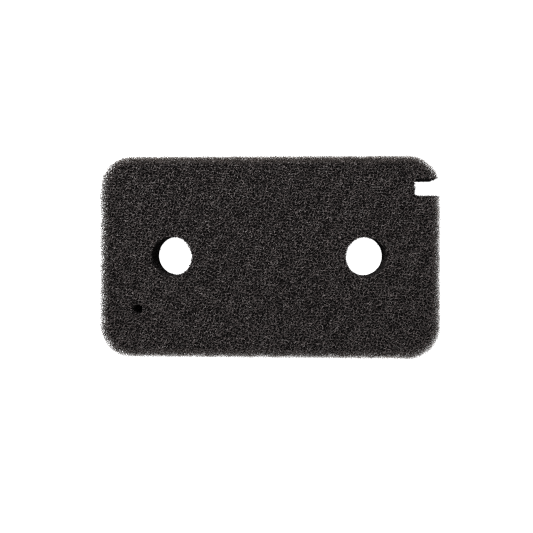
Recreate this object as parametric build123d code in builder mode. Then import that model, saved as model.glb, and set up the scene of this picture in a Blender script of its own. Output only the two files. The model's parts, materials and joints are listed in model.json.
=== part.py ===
from build123d import *
import os

# A filter pad cut with a die from flat sheet of open-cell foam. It lies flat, with its
# underside on the XY plane: +X runs along its length, +Y across it and +Z through its
# thickness. The origin is the middle of the underside. All sizes are in millimetres.

# Outline
length = 206.0
width = 122.0
thickness = 15.0
corner_radius = 19.0

# The two large holes that the pad is pushed over posts with
post_hole_radius = 12.15
post_hole_spacing = 117.8

# The small peg hole in the corner across from the notch
peg_hole_radius = 3.1
peg_hole_centre = (-79.7, -32.1)

# The locating notch, open at the right-hand edge
notch_depth = 14.8
notch_low = 36.8
notch_high = 46.85
notch_root_radius = 1.8  # at the foot of the notch's back wall
notch_lip_radius = 1.2  # where the lower wall meets the outer edge
tab_tip_radius = 1.2  # at the pointed end of the tab above the notch

# Worked out from the driving dimensions
right_edge = length / 2
notch_back = right_edge - notch_depth

os.makedirs("parts", exist_ok=True)

with BuildPart() as foam_pad:
    with BuildSketch(Plane.XY):
        RectangleRounded(length, width, corner_radius)

        # Notch: a slot across the edge, whose three outer corners are slightly rounded
        with Locations((notch_back, notch_low)):
            Rectangle(
                2 * notch_depth,
                notch_high - notch_low,
                align=(Align.MIN, Align.MIN),
                mode=Mode.SUBTRACT,
            )
        root = vertices().sort_by_distance((notch_back, notch_low))[0]
        fillet(root, notch_root_radius)
        lip = vertices().sort_by_distance((right_edge, notch_low))[0]
        fillet(lip, notch_lip_radius)
        tip = vertices().sort_by_distance((right_edge, notch_high))[0]
        fillet(tip, tab_tip_radius)

        # Post holes and peg hole
        with GridLocations(post_hole_spacing, 0, 2, 1):
            Circle(post_hole_radius, mode=Mode.SUBTRACT)
        with Locations(peg_hole_centre):
            Circle(peg_hole_radius, mode=Mode.SUBTRACT)
    extrude(amount=thickness)

foam_pad.part.label = "foam_pad"
export_step(foam_pad.part, "parts/foam_pad.step")

print(f"foam_pad volume {foam_pad.part.volume:.0f} mm3")
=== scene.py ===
import bpy
import json
import math
import numpy as np
from mathutils import Euler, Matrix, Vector


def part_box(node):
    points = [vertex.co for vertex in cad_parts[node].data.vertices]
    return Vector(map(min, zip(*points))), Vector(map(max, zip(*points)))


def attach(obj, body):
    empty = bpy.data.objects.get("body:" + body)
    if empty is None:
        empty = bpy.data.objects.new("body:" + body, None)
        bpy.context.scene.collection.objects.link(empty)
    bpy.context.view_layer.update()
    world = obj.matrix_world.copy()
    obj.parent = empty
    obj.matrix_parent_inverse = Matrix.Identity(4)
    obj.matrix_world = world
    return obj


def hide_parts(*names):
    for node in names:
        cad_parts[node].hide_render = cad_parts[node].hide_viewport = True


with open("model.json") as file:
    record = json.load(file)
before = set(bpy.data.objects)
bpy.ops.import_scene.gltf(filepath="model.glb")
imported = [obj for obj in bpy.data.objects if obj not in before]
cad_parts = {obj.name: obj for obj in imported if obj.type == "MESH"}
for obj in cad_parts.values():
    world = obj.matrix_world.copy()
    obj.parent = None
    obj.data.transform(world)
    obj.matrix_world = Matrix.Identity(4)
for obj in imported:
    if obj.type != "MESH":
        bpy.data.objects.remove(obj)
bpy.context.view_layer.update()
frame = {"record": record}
scene = bpy.context.scene
scene.view_settings.view_transform = "Standard"  # the white paper has to come out white
scene.cycles.use_denoising = False  # smoothing would wipe out the fine net of the foam
scene.cycles.filter_width = 1.25  # a little crisper than usual, for the same reason

mm = 0.001  # in metres
padNode = "foam_pad"
body = "root"
padLow, padHigh = (np.array(corner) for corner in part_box(padNode))
padMiddle, padHalf = (padLow + padHigh) / 2, (padHigh - padLow) / 2


# Camera: it looks straight down on the pad from close by, a little off the middle,
# so that one wall of each large hole shows

cameraSetup = {
    "over": (16.5, 12.2),      # mm, the point of the pad right under the lens
    "height": 267.0,           # mm above the pad's upper face
    "lens": 29.93,             # mm
    "sensor": 36.0,            # mm wide
    "lean": 1.62,              # degrees that it leans towards the plain end
    "roll": 0.05,              # degrees
    "shift": (-0.031, -0.056),  # of the picture's width
    "nearest": 10.0,           # mm, nothing closer than this shows
}


def addCamera(setup):
    data = bpy.data.cameras.new("camera")
    data.sensor_width = setup["sensor"]
    data.lens = setup["lens"]
    data.shift_x, data.shift_y = setup["shift"]
    data.clip_start = setup["nearest"] * mm
    camera = bpy.data.objects.new("camera", data)
    scene.collection.objects.link(camera)
    x, y = setup["over"]
    camera.location = (x * mm, y * mm, padHigh[2] + setup["height"] * mm)
    camera.rotation_euler = (0.0, math.radians(setup["lean"]), math.radians(setup["roll"]))
    scene.camera = camera


addCamera(cameraSetup)
print("camera placed")


# Outline: the walls that the die cut are read from the rim of the CAD pad's faces, and
# the distance to them is kept on a fine grid over the pad.

outline = {
    "step": 0.25,    # mm between the grid's points
    "margin": 3.0,   # mm of free space kept round the pad
    "corner": 19.0,  # mm, radius of the pad's outer corners
    "level": 0.01,   # mm that a corner of a flat face may lie off its height
    "digits": 7,     # decimal places of a metre that make two corners the same
}


def facesAt(nodeName, height):
    # the corners of the CAD pad's flat faces at one height
    mesh = bpy.data.objects[nodeName].data
    digits = outline["digits"]
    for polygon in mesh.polygons:
        corners = [mesh.vertices[i].co for i in polygon.vertices]
        if all(abs(corner.z - height) < outline["level"] * mm for corner in corners):
            yield [(round(corner.x, digits), round(corner.y, digits)) for corner in corners]


def readRim(nodeName, height):
    # an edge that only one face of the flat top uses lies on the rim
    uses = {}
    for corners in facesAt(nodeName, height):
        for a, b in zip(corners, corners[1:] + corners[:1]):
            edge = (min(a, b), max(a, b))
            uses[edge] = uses.get(edge, 0) + 1
    return [edge for edge, count in uses.items() if count == 1]


def measureWalls(rim, setup):
    # distance to the nearest wall, below zero inside the foam; a point is inside where a
    # line from it crosses the rim an odd number of times
    step, margin = setup["step"] * mm, setup["margin"] * mm
    xs = np.arange(padLow[0] - margin, padHigh[0] + margin, step)
    ys = np.arange(padLow[1] - margin, padHigh[1] + margin, step)
    x, y = np.meshgrid(xs, ys, indexing="ij")
    nearest = np.full(x.shape, np.inf)
    inFoam = np.zeros(x.shape, bool)
    for (ax, ay), (bx, by) in rim:
        dx, dy = bx - ax, by - ay
        along = np.clip(((x - ax) * dx + (y - ay) * dy) / (dx * dx + dy * dy), 0, 1)
        away = np.hypot(x - ax - along * dx, y - ay - along * dy)
        nearest = np.minimum(nearest, away)
        if dy:
            inFoam ^= ((ay > y) != (by > y)) & (x < ax + (y - ay) / dy * dx)
    return np.where(inFoam, -nearest, nearest)


def wallDistance(x, y):
    # read off the grid, evened out between its points
    step, margin = outline["step"] * mm, outline["margin"] * mm
    last = np.array(walls.shape) - 1.001  # just short of the grid's last point
    u = np.clip((x - padLow[0] + margin) / step, 0, last[0])
    v = np.clip((y - padLow[1] + margin) / step, 0, last[1])
    i, j = u.astype(int), v.astype(int)
    u, v = u - i, v - j
    return ((walls[i, j] * (1 - u) + walls[i + 1, j] * u) * (1 - v)
            + (walls[i, j + 1] * (1 - u) + walls[i + 1, j + 1] * u) * v)


def roundedDistance(a, b):
    # distance from a square corner, below zero behind both of its sides
    return np.minimum(np.maximum(a, b), 0) + np.hypot(np.maximum(a, 0), np.maximum(b, 0))


def outerDistance(x, y):
    # the same, for a pad without its holes and notch
    radius = outline["corner"] * mm
    across = np.abs(x - padMiddle[0]) - padHalf[0] + radius
    along = np.abs(y - padMiddle[1]) - padHalf[1] + radius
    return roundedDistance(across, along) - radius


walls = measureWalls(readRim(padNode, padHigh[2]), outline)
print("walls measured")


# Foam: real struts of open-cell foam. Each cell is a body with fourteen windows, packed in
# rows, and every joint holds four struts. The joints stray and the rows wander, as the
# bubbles of blown foam do. The cells of such foam can be as fine as 1 mm; they are drawn
# coarser, because finer ones would melt into one grey from this far.

foam = {
    "cell": 2.0,                  # mm across one cell
    "turn": (78.0, 13.0, 75.0),   # degrees, so that no row of cells lies along a face of the pad
    "scatter": 0.5,               # mm that a joint strays from its even place
    "sway": 0.6,                  # mm that whole groups of cells wander
    "swayLength": 14.0,           # mm from one such group to the next but one
    "lost": 0.07,                 # share of the struts that are missing
    "rim": 0.4,                   # mm, rounding of the cut edges
    "ragged": 0.7,                # mm that cut ends stand proud at most
    "shortest": 0.12,             # mm, shorter cut ends fall off
    "reach": 2.2,                 # mm past a part of the pad where its struts may start
    "tiles": (6, 4),              # the pad is worked through in this many parts
}

# The outermost struts are finer, because the die splits them and the light thins them out
fringe = dict(
    foam,
    cell=1.5,                  # mm
    turn=(43.0, 72.0, 51.0),   # degrees
    scatter=0.38,              # mm
    lost=0.1,
    ragged=0.6,                # mm
    band=1.4,                  # mm wide
)

edgeSlack = 0.3  # mm nearer to another wall than to the outer edge that still counts as edge
strutSteps = ((1, 1, 0), (1, -1, 0), (1, 0, 1), (1, 0, -1), (0, 1, 1), (0, 1, -1))  # quarter cells
shuffle = np.array([[12.9898, 39.346, 73.156], [78.233, 11.135, 52.235], [37.719, 83.155, 9.151]])


def chance(points, salt):
    # three random numbers from 0 to 1 for each point of the grid, the same in each run
    value = np.sin(points @ shuffle + salt) * 43758.5453
    return value - np.floor(value)


def isJoint(places):
    # of its three quarter-cell numbers one is odd, one falls on a cell and one between cells
    rest = places % 4
    odd, onCell, between = rest % 2 == 1, rest == 0, rest == 2
    return (odd.sum(1) == 1) & (onCell.sum(1) == 1) & (between.sum(1) == 1)


def turnOf(kind):
    # from quarter cells to metres
    angles = [math.radians(angle) for angle in kind["turn"]]
    return np.array(Euler(angles).to_matrix()).T * kind["cell"] * mm / 4


def jointPlace(kind, joints):
    # where a joint of the even grid ends up after the group's sway and its own scatter
    even = joints @ turnOf(kind)
    x, y, z = 2 * math.pi / (kind["swayLength"] * mm) * even.T
    sway = np.stack([
        np.sin(y + 0.6 * z + 1.3) * np.cos(0.63 * x),
        np.sin(z + 0.7 * x + 0.4) * np.cos(0.71 * y + 2.0),
        np.sin(x - 0.5 * y + 2.2) * np.cos(0.58 * z + 0.7),
    ], 1)
    return even + kind["sway"] * mm * sway + (chance(joints, 1.0) - 0.5) * 2 * kind["scatter"] * mm


def jointsIn(kind, lowest, highest):
    # all joints of the grid in one box
    corners = np.array([[x, y, z] for x in (lowest[0], highest[0])
                        for y in (lowest[1], highest[1])
                        for z in (lowest[2], highest[2])])
    corners = corners @ np.linalg.inv(turnOf(kind))
    first, last = np.floor(corners.min(0)).astype(int), np.ceil(corners.max(0)).astype(int)
    ranges = [np.arange(a, b + 1) for a, b in zip(first, last)]
    places = np.stack(np.meshgrid(*ranges, indexing="ij"), -1).reshape(-1, 3)
    places = places[isJoint(places)]
    even = places @ turnOf(kind)
    return places[((even > lowest) & (even < highest)).all(1)]


def strutsInTile(kind, low, high):
    # the struts whose middles are in this part of the pad, seen from above
    reach = kind["reach"] * mm
    lowest, highest = np.append(low, padLow[2]) - reach, np.append(high, padHigh[2]) + reach
    places = jointsIn(kind, lowest, highest)
    pairs = []
    for step in strutSteps:
        real = isJoint(places + step)
        pairs.append(np.stack([places[real], places[real] + step], 1))
    pairs = np.concatenate(pairs)
    start, end = jointPlace(kind, pairs[:, 0]), jointPlace(kind, pairs[:, 1])
    luck = chance(pairs.sum(1), 2.0)
    middle = (start + end)[:, :2] / 2
    mine = ((middle >= low) & (middle < high)).all(1) & (luck[:, 1] > kind["lost"])
    if "band" in kind:
        inside = -outerDistance(*middle.T)
        mine &= (inside < kind["band"] * mm) & (inside < edgeSlack * mm - wallDistance(*middle.T))
    return start[mine], end[mine], luck[mine]


def surfaceDistance(kind, points):
    # how far a point is outside the pad, whose cut edges are slightly rounded
    rim = kind["rim"] * mm
    across = wallDistance(points[:, 0], points[:, 1]) + rim
    up = np.abs(points[:, 2] - padMiddle[2]) - padHalf[2] + rim
    return roundedDistance(across, up) - rim


def cutToPad(kind, start, end, luck):
    # the saw and the die cut a strut where it leaves the pad, and some ends stand proud
    startOut, endOut = surfaceDistance(kind, start), surfaceDistance(kind, end)
    swap = startOut > endOut
    start[swap], end[swap] = end[swap], start[swap].copy()
    startOut, endOut = np.minimum(startOut, endOut), np.maximum(startOut, endOut)
    above = end[:, 2] > padLow[2]  # none stand proud of the underside, which the pad lies on
    proud = kind["ragged"] * mm * luck[:, 2] ** 3 * above  # few of them by much
    cut = endOut > proud
    share = np.where(cut, (startOut - proud) / np.where(cut, startOut - endOut, 1.0), 1.0)
    end = start + (end - start) * share[:, None]
    keep = (startOut < 0) & (np.linalg.norm(end - start, axis=1) > kind["shortest"] * mm)
    return start[keep], end[keep], luck[keep]


def growFoam(kind):
    # part by part, because the whole grid at once would fill the memory
    columns, rows = kind["tiles"]
    corner = padLow[:2] - mm
    tile = (padHigh[:2] + mm - corner) / kind["tiles"]
    parts = []
    for column in range(columns):
        for row in range(rows):
            low = corner + tile * (column, row)
            parts.append(cutToPad(kind, *strutsInTile(kind, low, low + tile)))
    return [np.concatenate(part) for part in zip(*parts)]


# Materials: reticulated polyurethane foam, blown, its cell windows burst and the block sawn
# into sheet. It is dyed through; the greys that light and depth give it are painted in, as painted light and
# painted shade.

def linearColour(hexCode):
    channels = [int(hexCode[i:i + 2], 16) / 255 for i in (1, 3, 5)]
    return [c / 12.92 if c <= 0.04045 else ((c + 0.055) / 1.055) ** 2.4 for c in channels] + [1.0]


def addNode(tree, kind, settings=None, inputs=None):
    node = tree.nodes.new(kind)
    for name, value in (settings or {}).items():
        setattr(node, name, value)
    for name, value in (inputs or {}).items():
        if isinstance(value, bpy.types.NodeSocket):
            tree.links.new(value, node.inputs[name])
        else:
            node.inputs[name].default_value = value
    return node


# Typical polyurethane: IOR 1.5, not metallic, roughness 0.5 and up. Apart from sawn, the finishes
# are lit and shaded copies of the one foam: painted light and painted shade. Only struts in the
# open glint; further in, the gloss is turned down as painted shade, because the foam round them
# swallows it.
foamFinishes = {
    # a grey speckle: dull strut ends with a faint glint over dark pores
    "sawn": {
        "name": "charcoal polyurethane foam, sawn",
        "colours": ("#292625", "#4d4645"),
        "roughness": (0.5, 0.7),
        "specular": 0.4,
    },
    # painted light: a soft warm rim, paler than the foam, that fades into the light behind it
    "rim": {
        "name": "charcoal polyurethane foam, painted rim light",
        "colours": ("#524c48", "#716963"),
        "roughness": (0.5, 0.7),
        "specular": 0.4,
    },
    # painted half light: the step between that painted rim and the painted shade of the pad
    "edge": {
        "name": "charcoal polyurethane foam, painted half light at the edge",
        "colours": ("#2c2826", "#4b4441"),
        "roughness": (0.5, 0.7),
        "specular": 0.3,
    },
    # painted shade: dark pores in which the next layer of struts can just be made out
    "shade": {
        "name": "charcoal polyurethane foam, painted shade inside",
        "colours": ("#1b1818", "#2b2727"),
        "roughness": (0.6, 0.8),
        "specular": 0.1,
    },
    # painted shade: the hole and notch walls nearly black, since they face away from the light
    "wall": {
        "name": "charcoal polyurethane foam, die cut",
        "colours": ("#191717", "#282525"),
        "roughness": (0.6, 0.8),
        "specular": 0.1,
    },
    # painted shade: the black ground of the deepest pores
    "depth": {
        "name": "charcoal polyurethane foam, painted shade of the depths",
        "colours": ("#0e0d0d", "#181616"),
        "roughness": (0.8, 1.0),
        "specular": 0.0,
    },
}

foamSurface = {
    "ior": 1.5,
    "cloud": 2.2,      # mm, about a cell: the dye is paler on some struts than on others
    "pale": (0.35, 0.65),
    "grain": 0.4,      # mm, the dimples left on a strut when its windows burst; really finer
    "bump": 0.03,      # mm deep
    "strength": 0.3,
}


def foamMaterial(finish, surface):
    made = bpy.data.materials.new(finish["name"])
    made.use_nodes = True
    tree = made.node_tree
    shader = tree.nodes["Principled BSDF"]
    place = addNode(tree, "ShaderNodeTexCoord").outputs["Object"]
    cloud = addNode(tree, "ShaderNodeTexNoise", inputs={
        "Vector": place, "Scale": 1 / (surface["cloud"] * mm), "Detail": 4.0})
    ramp = addNode(tree, "ShaderNodeValToRGB", inputs={"Fac": cloud.outputs["Fac"]})
    for element, position, colour in zip(ramp.color_ramp.elements, surface["pale"], finish["colours"]):
        element.position = position
        element.color = linearColour(colour)
    grain = addNode(tree, "ShaderNodeTexNoise", inputs={
        "Vector": place, "Scale": 1 / (surface["grain"] * mm), "Detail": 2.0})
    low, high = finish["roughness"]
    gloss = addNode(tree, "ShaderNodeMapRange", inputs={
        "Value": grain.outputs["Fac"], "From Min": 0.3, "From Max": 0.7, "To Min": low, "To Max": high})
    bump = addNode(tree, "ShaderNodeBump", inputs={
        "Height": grain.outputs["Fac"], "Strength": surface["strength"], "Distance": surface["bump"] * mm})
    tree.links.new(ramp.outputs["Color"], shader.inputs["Base Color"])
    tree.links.new(gloss.outputs["Result"], shader.inputs["Roughness"])
    tree.links.new(bump.outputs["Normal"], shader.inputs["Normal"])
    shader.inputs["IOR"].default_value = surface["ior"]
    shader.inputs["Specular IOR Level"].default_value = finish["specular"]
    return made


foamMaterials = {key: foamMaterial(finish, foamSurface) for key, finish in foamFinishes.items()}
print("materials made")


# Nets: the struts are shared out by where they lie, since light reaches them differently;
# each net's finish carries its painted light or painted shade.
# "strut" is how wide the thinnest and the widest are in mm, "depth" how far in the net goes.

nets = {
    "fringe_net": {"finish": "rim", "strut": (0.08, 0.16)},                 # the fine outermost struts, in painted rim light
    "rim_net": {"depth": 1.4},                                              # where they take over
    "edge_net": {"finish": "edge", "strut": (0.15, 0.28), "depth": 4.6},    # behind them, in painted half light
    "wall_net": {"finish": "wall", "strut": (0.22, 0.40), "depth": 0.8},    # round the holes and notch, in painted shade
    "upper_net": {"finish": "sawn", "strut": (0.26, 0.46), "depth": 0.55},  # the sawn upper face
    "inner_net": {"finish": "shade", "strut": (0.22, 0.40), "depth": 1.5},  # under it, in painted shade
    "under_net": {"finish": "sawn", "strut": (0.26, 0.46), "depth": 0.5},   # the underside
}
mostStruts = 24000  # in one piece


def shareOut(start, end, luck):
    # a strut goes to the first net whose test it passes
    x, y, z = ((start + end) / 2).T
    outer, wall = -outerDistance(x, y), -wallDistance(x, y)
    upper, under = padHigh[2] - z, z - padLow[2]
    byEdge = outer < wall + edgeSlack * mm  # the holes and the notch let no light through their walls
    depth = {name: net["depth"] * mm for name, net in nets.items() if "depth" in net}
    skin = np.minimum(upper, under) < depth["upper_net"]
    # the nets run into each other, so that no line shows between them
    early = 0.4 + 1.2 * luck[:, 2]
    near = np.where(skin, 0.3 + 0.7 * luck[:, 1], 1.0)
    tests = {
        "rim_net": byEdge & (outer < depth["rim_net"] * early),
        "edge_net": byEdge & (outer < depth["edge_net"] * near),
        "wall_net": ~byEdge & (wall < depth["wall_net"]) & (upper > depth["upper_net"]),
        "upper_net": upper < depth["upper_net"],
        "inner_net": upper < depth["inner_net"],
        "under_net": under < depth["under_net"],
    }
    free = np.ones(len(x), bool)
    for name, test in tests.items():
        yield name, free & test
        free &= ~test


def strutMesh(name, start, end, luck, widths):
    # each strut is a closed prism with three sides, as the struts of blown foam are
    along = end - start
    along /= np.linalg.norm(along, axis=1)[:, None]
    side = np.cross(along, luck - 0.5)
    side /= np.linalg.norm(side, axis=1)[:, None] + 1e-12
    third = np.cross(along, side)
    thin, thick = widths
    width = thin + (thick - thin) * luck[:, 0] ** 2
    radius = (width * mm / math.sqrt(3))[:, None]
    corners = [tip + radius * (math.cos(angle) * side + math.sin(angle) * third)
               for tip in (start, end)
               for angle in (0, 2 * math.pi / 3, 4 * math.pi / 3)]
    points = np.stack(corners, 1).reshape(-1, 3)
    base = (np.arange(len(start)) * len(corners))[:, None, None]
    sides = (base + np.array([[0, 1, 4, 3], [1, 2, 5, 4], [2, 0, 3, 5]])).reshape(-1, 4)
    caps = (base + np.array([[2, 1, 0], [3, 4, 5]])).reshape(-1, 3)
    mesh = bpy.data.meshes.new(name)
    mesh.vertices.add(len(points))
    mesh.vertices.foreach_set("co", points.astype(np.float32).ravel())
    mesh.loops.add(sides.size + caps.size)
    around = np.concatenate([sides.ravel(), caps.ravel()])
    mesh.loops.foreach_set("vertex_index", around.astype(np.int32))
    mesh.polygons.add(len(sides) + len(caps))
    starts = np.concatenate([np.arange(len(sides)) * 4, sides.size + np.arange(len(caps)) * 3])
    mesh.polygons.foreach_set("loop_start", starts.astype(np.int32))
    mesh.update(calc_edges=True)
    mesh.polygons.foreach_set("use_smooth", np.zeros(len(mesh.polygons), bool))
    return mesh


def addPiece(name, mesh, finish):
    mesh.materials.append(foamMaterials[finish])
    piece = bpy.data.objects.new(name, mesh)
    scene.collection.objects.link(piece)
    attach(piece, body)
    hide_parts(padNode)


def addNet(name, start, end, luck):
    # cut into pieces along the pad, because one mesh of all of it would be too large
    order = np.argsort(start[:, 0])
    pieces = math.ceil(len(order) / mostStruts)
    for number, part in enumerate(np.array_split(order, pieces), 1):
        pieceName = f"{name}_{number}"
        mesh = strutMesh(pieceName, start[part], end[part], luck[part], nets[name]["strut"])
        addPiece(pieceName, mesh, nets[name]["finish"])
    print(name, len(order), "struts in", pieces)


struts = growFoam(foam)
for name, chosen in shareOut(*struts):
    if name != "rim_net":
        addNet(name, *(part[chosen] for part in struts))
addNet("fringe_net", *growFoam(fringe))


# Dark middle in painted shade: it stands for the foam too deep inside for light to reach

core = {
    "step": 1.2,       # mm between its points
    "upper": 1.6,      # mm below the upper face
    "under": 0.4,      # mm above the underside
    "edge": 4.6,       # mm inside the outer edge
    "hole": 0.35,      # mm behind the walls of the holes and the notch
    "probe": 0.2,      # mm, for finding the steepest way to its border
    "tries": 4,
    "finish": "depth",
}


def coreDistance(x, y):
    behindWalls = wallDistance(x, y) + core["hole"] * mm
    behindEdge = outerDistance(x, y) + core["edge"] * mm
    return np.maximum(behindWalls, behindEdge)


def slideToBorder(x, y, outside):
    # moves the points outside onto the core's border, along the steepest way in
    probe = core["probe"] * mm
    for _ in range(core["tries"]):
        out = np.where(outside, np.maximum(coreDistance(x, y), 0), 0)
        slopeX = (coreDistance(x + probe, y) - coreDistance(x - probe, y)) / (2 * probe)
        slopeY = (coreDistance(x, y + probe) - coreDistance(x, y - probe)) / (2 * probe)
        x, y = x - out * slopeX, y - out * slopeY
    return x, y


def coreMesh(name, setup):
    # squares of a grid above and below, and one wall round them
    step = setup["step"] * mm
    x, y = np.meshgrid(np.arange(padLow[0], padHigh[0] + step, step),
                       np.arange(padLow[1], padHigh[1] + step, step), indexing="ij")
    inside = coreDistance(x, y) < 0
    filled = inside[:-1, :-1] | inside[1:, :-1] | inside[:-1, 1:] | inside[1:, 1:]
    used = np.zeros_like(inside)
    for i in (0, 1):
        for j in (0, 1):
            used[i:i + filled.shape[0], j:j + filled.shape[1]] |= filled
    x, y = slideToBorder(x, y, used & ~inside)
    count = used.sum()
    number = np.full(inside.shape, -1)
    number[used] = np.arange(count)
    x, y = x[used], y[used]
    top = np.stack([x, y, np.full(count, padHigh[2] - setup["upper"] * mm)], 1)
    bottom = np.stack([x, y, np.full(count, padLow[2] + setup["under"] * mm)], 1)
    i, j = np.nonzero(filled)
    squares = np.stack([number[i, j], number[i + 1, j], number[i + 1, j + 1], number[i, j + 1]], 1)
    edges = {(a, b) for corner in range(4)
             for a, b in zip(squares[:, corner], squares[:, (corner + 1) % 4])}
    sides = [(b, a, a + count, b + count) for a, b in sorted(edges) if (b, a) not in edges]
    faces = squares.tolist() + (squares[:, ::-1] + count).tolist() + sides
    mesh = bpy.data.meshes.new(name)
    mesh.from_pydata(np.concatenate([top, bottom]).tolist(), [], faces)
    mesh.update()
    return mesh


addPiece("foam_core", coreMesh("foam_core", core), core["finish"])
print("core made")


# Floor and light: an overexposed white sweep, as for a cut-out product picture

stage = {
    "flat": 1.2,         # m, the sweep is flat out to here
    "bend": 1.0,         # m, radius of its curve up
    "rise": 6.0,         # m high
    "turns": 64,         # sides of its round
    "steps": 10,         # rings in its curve
    "gap": 0.3,          # mm below the pad
    "paper": "#c8c8c8",
    "roughness": 0.9,
    "glow": 1.0,         # the sweep is lit from below, so that no shadow falls on it
    "shade": "#080808",  # painted shadow: a dark sheet where the pad lies on it
    "world": 0.24,       # light from all round
}

softboxes = {  # places and sizes in m, power in W
    "key": {"place": (-0.14, 0.42, 0.4), "size": 0.25, "power": 4.4},      # from the upper left
    "overhead": {"place": (0.0, 0.0, 1.5), "size": 1.2, "power": 8.6},     # into the pores
    "side": {"place": (-0.2, 0.4, 0.14), "size": 0.2, "power": 2.2},       # along the upper rim
    "front": {"place": (0.35, -0.9, 0.12), "size": 0.3, "power": 3.5},     # a little on the other walls
}


def paperMaterial(name, colour, roughness):
    # matt paper: no gloss at all, so that it shows as an even tone
    made = bpy.data.materials.new(name)
    made.use_nodes = True
    shader = made.node_tree.nodes["Principled BSDF"]
    shader.inputs["Base Color"].default_value = linearColour(colour)
    shader.inputs["Roughness"].default_value = roughness
    shader.inputs["Specular IOR Level"].default_value = 0.0
    return made


def pegDisc(turns=24):
    peg = next(mount for mount in frame["record"]["mounts"] if mount["name"] == "peg_hole")
    x, y = peg["pos_m"][:2]
    radius = peg["dims"]["r_mm"] * mm
    angles = [2 * math.pi * i / turns for i in range(turns)]
    return [(x + radius * math.cos(angle), y + radius * math.sin(angle)) for angle in angles]


def addShade(setup):
    # painted shadow: a dark sheet under the pad and over the narrow peg hole, where no light gets
    faces = list(facesAt(padNode, padLow[2])) + [pegDisc()]
    height = padLow[2] - setup["gap"] * mm / 2
    corners = [(x, y, height) for face in faces for x, y in face]
    ends = np.cumsum([len(face) for face in faces])
    loops = [list(range(end - len(face), end)) for face, end in zip(faces, ends)]
    mesh = bpy.data.meshes.new("painted_shadow_under_pad")
    mesh.from_pydata(corners, [], loops)
    mesh.materials.append(paperMaterial("painted shadow under the pad", setup["shade"], setup["roughness"]))
    shade = bpy.data.objects.new("painted_shadow_under_pad", mesh)
    scene.collection.objects.link(shade)


def sweepMesh(setup):
    # flat in the middle and curved up all round, so that no view goes past its edge
    flat, bend, turns = setup["flat"], setup["bend"], setup["turns"]
    profile = [(flat + bend * math.sin(angle), bend * (1 - math.cos(angle)))
               for angle in np.linspace(0, math.pi / 2, setup["steps"])]
    profile.append((flat + bend, setup["rise"]))
    angles = [2 * math.pi * i / turns for i in range(turns)]
    corners = [(radius * math.cos(angle), radius * math.sin(angle), height)
               for radius, height in profile
               for angle in angles]
    faces = [list(range(turns))]
    for ring in range(len(profile) - 1):
        for i in range(turns):
            here, there = ring * turns + i, ring * turns + (i + 1) % turns
            faces.append([here, there, there + turns, here + turns])
    mesh = bpy.data.meshes.new("floor")
    mesh.from_pydata(corners, [], faces)
    return mesh


def addFloor(setup):
    mesh = sweepMesh(setup)
    paper = paperMaterial("matt white paper sweep", setup["paper"], setup["roughness"])
    shader = paper.node_tree.nodes["Principled BSDF"]
    shader.inputs["Emission Color"].default_value = linearColour("#ffffff")
    shader.inputs["Emission Strength"].default_value = setup["glow"]
    mesh.materials.append(paper)
    floor = bpy.data.objects.new("floor", mesh)
    scene.collection.objects.link(floor)
    floor.location.z = padLow[2] - setup["gap"] * mm
    # its glow and its shadow stay off the foam, which is lit from above
    floor.visible_diffuse = False
    floor.visible_glossy = False
    floor.visible_shadow = False


def addWorld(setup):
    world = bpy.data.worlds.new("studio")
    world.use_nodes = True
    background = world.node_tree.nodes["Background"]
    background.inputs["Color"].default_value = linearColour("#ffffff")
    background.inputs["Strength"].default_value = setup["world"]
    scene.world = world


def addSoftbox(name, box):
    # turned towards the middle of the pad
    data = bpy.data.lights.new(name, "AREA")
    data.shape = "SQUARE"
    data.size = box["size"]
    data.energy = box["power"]
    lamp = bpy.data.objects.new(name, data)
    scene.collection.objects.link(lamp)
    lamp.location = box["place"]
    lamp.rotation_euler = (-Vector(box["place"])).to_track_quat("-Z", "Y").to_euler()


addFloor(stage)
addShade(stage)
addWorld(stage)
for name, box in softboxes.items():
    addSoftbox(name, box)
print("stage set")
